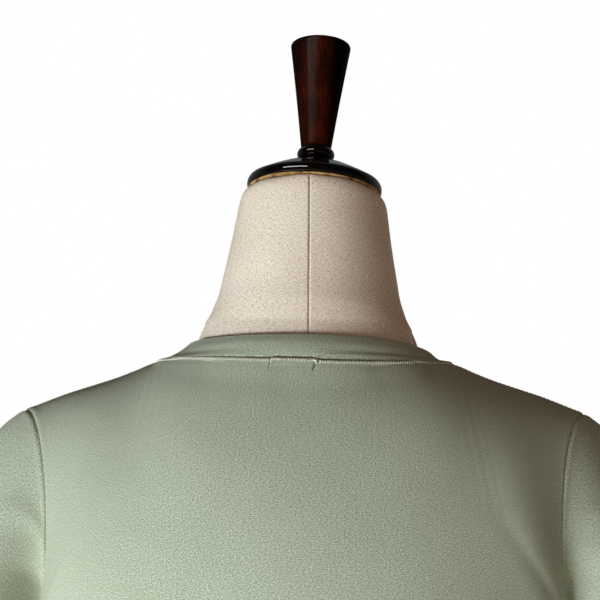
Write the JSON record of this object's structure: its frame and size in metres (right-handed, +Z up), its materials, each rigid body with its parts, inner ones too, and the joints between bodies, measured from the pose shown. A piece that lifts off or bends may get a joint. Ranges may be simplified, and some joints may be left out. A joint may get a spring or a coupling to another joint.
{
  "type": "henley dress on a dress form",
  "caption": "Knee-length short-sleeved henley dress in cotton jersey, worn by a limbless linen dress form on a turned wooden stand.",
  "frame": {"origin": "on the floor, under the middle of the stand's round foot and of the dress", "axes": "+Z up the stand; the dress faces -Y, so +X is towards the wearer's left"},
  "size_m": [0.535, 0.42, 1.6165],
  "materials": {
    "jersey": "soft brushed cotton jersey",
    "button": "satin",
    "linen": "plain woven linen",
    "card": "bare board",
    "lacquer": "dark gloss lacquer"
  },
  "bodies": {
    "root": {"back": "jersey", "front": "jersey", "sleeve_left": "jersey", "sleeve_right": "jersey", "neckband": "jersey", "placket_over": "jersey", "placket_under": "jersey", "button_1": "button", "button_2": "button", "button_3": "button", "bust": "linen", "neck_disc": "card", "neck_cap": "lacquer", "finial_bead": "lacquer", "finial_handle": "lacquer", "stand_socket": "lacquer", "stand_column": "lacquer", "stand_base": "lacquer"}
  },
  "joints": []
}
